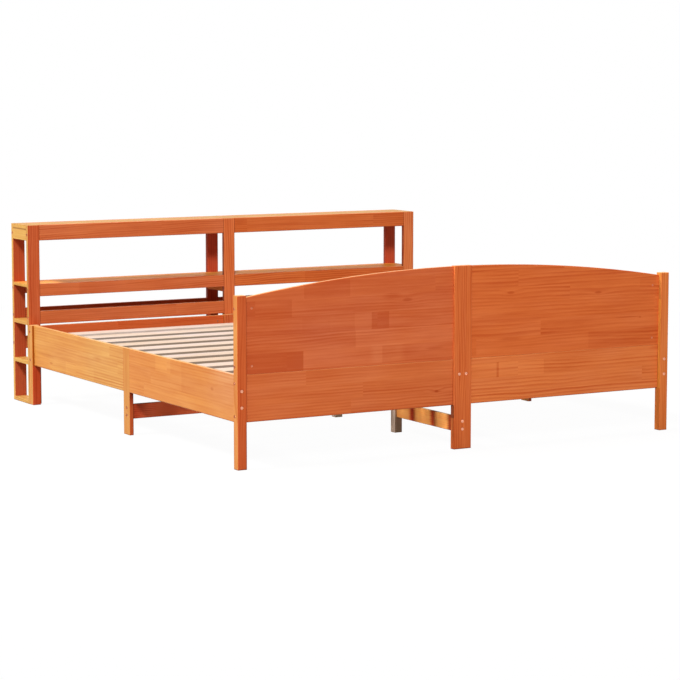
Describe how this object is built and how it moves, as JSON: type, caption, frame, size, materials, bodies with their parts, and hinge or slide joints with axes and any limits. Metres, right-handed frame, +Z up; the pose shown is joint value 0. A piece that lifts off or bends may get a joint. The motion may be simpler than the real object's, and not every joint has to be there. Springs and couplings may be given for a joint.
{
  "type": "bed frame",
  "caption": "Low pine bed frame with an arched foot end, split side rails, two columns of slats and an open bookcase headboard.",
  "frame": {"origin": "on the floor, under the middle of the whole bed with its bookcase", "axes": "+Y towards the headboard, +X to the right seen from the foot end, +Z up"},
  "size_m": [2.055, 2.25, 0.818],
  "materials": {
    "stained_pine": "honey orange stain under a satin clear coat",
    "bare_pine": "planed, unfinished",
    "grey_pine": "planed, unfinished, grey-brown",
    "steel": "zinc plated",
    "beech": "turned, unfinished"
  },
  "bodies": {
    "root": {"foot_post_left": "stained_pine", "foot_post_right": "stained_pine", "foot_post_centre": "stained_pine", "foot_arch_panel_left": "stained_pine", "foot_arch_panel_right": "stained_pine", "foot_board_left": "stained_pine", "foot_board_right": "stained_pine", "side_rail_left_foot": "stained_pine", "side_rail_left_head": "stained_pine", "side_rail_right_foot": "stained_pine", "side_rail_right_head": "stained_pine", "mid_leg_left": "stained_pine", "mid_leg_right": "stained_pine", "head_leg_left": "stained_pine", "head_leg_right": "stained_pine", "head_post_centre": "stained_pine", "head_board_left": "stained_pine", "head_board_right": "stained_pine", "centre_beam_foot": "bare_pine", "centre_beam_head": "bare_pine", "centre_leg_foot": "grey_pine", "centre_leg_middle": "grey_pine", "centre_leg_head": "grey_pine", "low_stretcher_foot": "stained_pine", "low_stretcher_head": "stained_pine", "low_stretcher_left": "stained_pine", "low_stretcher_right": "stained_pine", "slat_cleats": "bare_pine", "slats_left": "bare_pine", "slats_right": "bare_pine", "case_front_post_left": "stained_pine", "case_front_post_centre": "stained_pine", "case_front_post_right": "stained_pine", "case_back_post_left": "stained_pine", "case_back_post_centre": "stained_pine", "case_back_post_right": "stained_pine", "front_top_rail_left": "stained_pine", "front_top_rail_right": "stained_pine", "back_top_rail_left": "stained_pine", "back_top_rail_right": "stained_pine", "front_shelf_rail_left": "stained_pine", "front_shelf_rail_right": "stained_pine", "back_shelf_rail_left": "stained_pine", "back_shelf_rail_right": "stained_pine", "front_second_rail_left": "stained_pine", "front_second_rail_right": "stained_pine", "back_second_rails": "stained_pine", "back_bottom_rails": "stained_pine", "top_board_left": "stained_pine", "top_board_right": "stained_pine", "shelf_left": "stained_pine", "shelf_right": "stained_pine", "top_aprons": "stained_pine", "spreaders": "stained_pine", "shelf_bearer": "stained_pine", "bolts": "steel", "tie_rods": "steel", "barrel_nuts": "steel", "dowels": "beech"}
  },
  "joints": []
}
